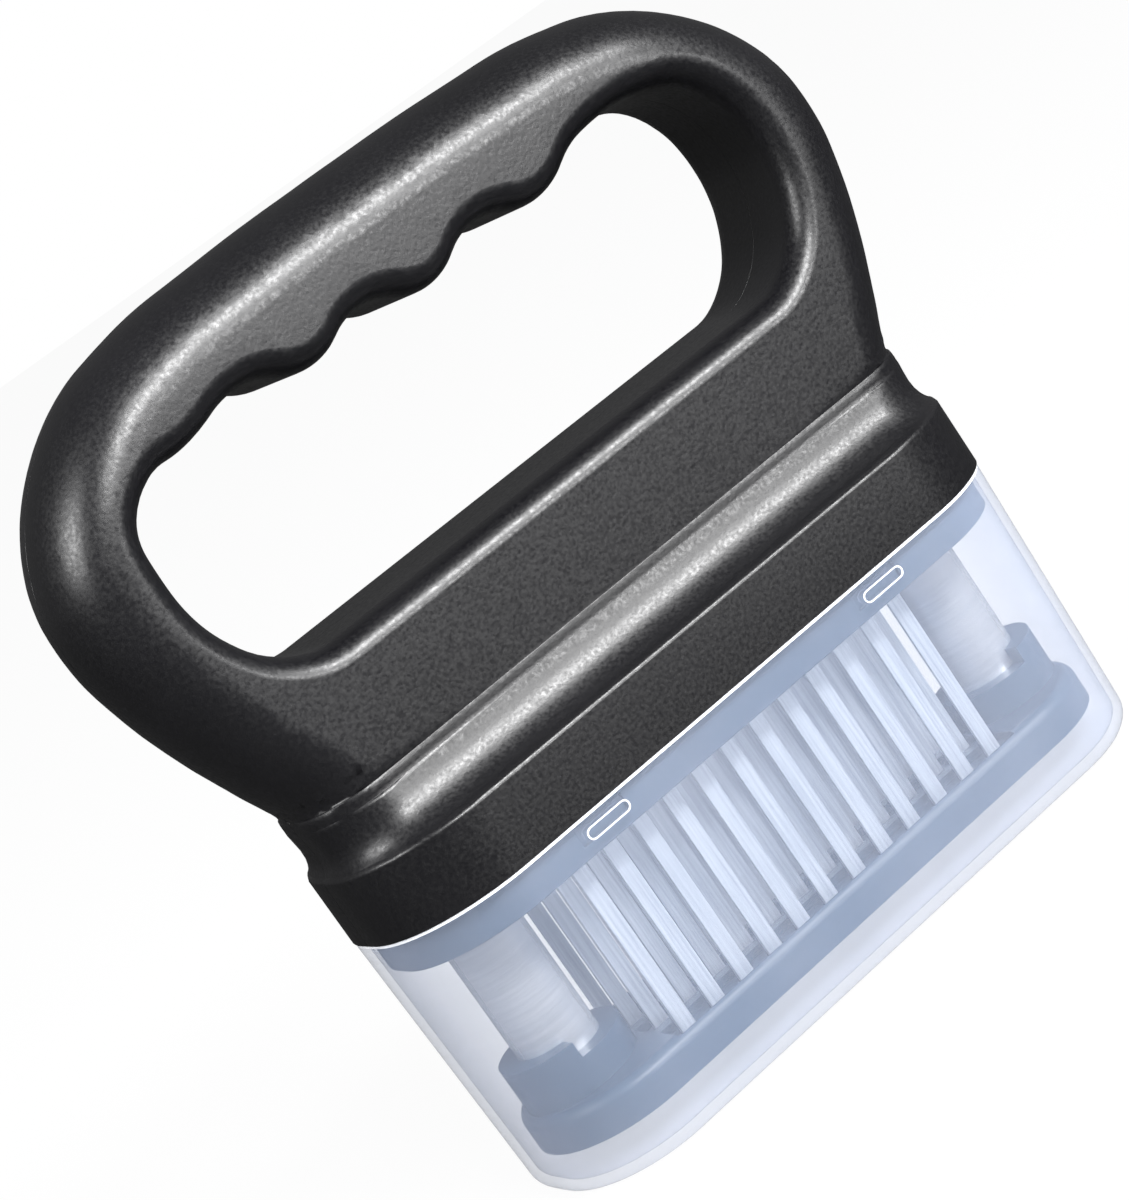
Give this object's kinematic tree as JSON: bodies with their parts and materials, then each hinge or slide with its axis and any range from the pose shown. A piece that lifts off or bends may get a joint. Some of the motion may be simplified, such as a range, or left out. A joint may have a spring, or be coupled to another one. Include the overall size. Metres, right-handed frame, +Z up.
{
  "type": "blade meat tenderizer",
  "caption": "Hand-held blade meat tenderizer: loop handle over rows of narrow blades, a sprung blade guard on two steel tubes, and a clear slip-on cover.",
  "frame": {"origin": "on the flat underside of the clear cover, below the middle of the tool", "axes": "+Z up through the handle, +X along the handle and the blade rows, -Y the front"},
  "size_m": [0.1322, 0.039, 0.128],
  "materials": {
    "handle_black": "fine spark-eroded satin black",
    "guard_plastic": "smooth satin dark slate",
    "inner_plastic": "moulded dark grey",
    "blade_steel": "ground stainless strip",
    "tube_steel": "polished stainless tube",
    "small_steel": "plain zinc and spring steel",
    "clear_cover": "clear, slightly milky moulded plastic"
  },
  "bodies": {
    "handle": {"handle_front_shell": "handle_black", "handle_back_shell": "handle_black", "handle_screws": "small_steel", "base_plate": "guard_plastic", "base_plate_screws": "small_steel", "blade_carrier": "inner_plastic", "blade_clamp_plate": "inner_plastic", "clamp_screws": "small_steel", "blade_row_1": "blade_steel", "blade_row_2": "blade_steel", "blade_row_3": "blade_steel", "blade_row_4": "blade_steel", "guide_bush_left": "inner_plastic", "guide_bush_right": "inner_plastic", "spring_pin_left": "small_steel", "spring_pin_right": "small_steel"},
    "guard": {"blade_guard": "guard_plastic", "guard_screws": "small_steel", "post_tube_left": "tube_steel", "post_tube_right": "tube_steel", "post_plug_left": "small_steel", "post_plug_right": "small_steel", "stop_clip_left": "small_steel", "stop_clip_right": "small_steel", "return_spring_left": "small_steel", "return_spring_right": "small_steel"},
    "cover": {"protective_cover": "clear_cover"}
  },
  "joints": [
    {"name": "guard_slide", "type": "slide", "parent": "handle", "child": "guard", "axis": [0, 0, 1], "range_m": [0, 0.018], "stiffness_N_per_m": 1500, "springref_m": -0.008, "deforming": ["return_spring_left", "return_spring_right"]},
    {"name": "cover_slide", "type": "slide", "parent": "handle", "child": "cover", "axis": [0, 0, -1], "range_m": [0, 0.055]}
  ]
}
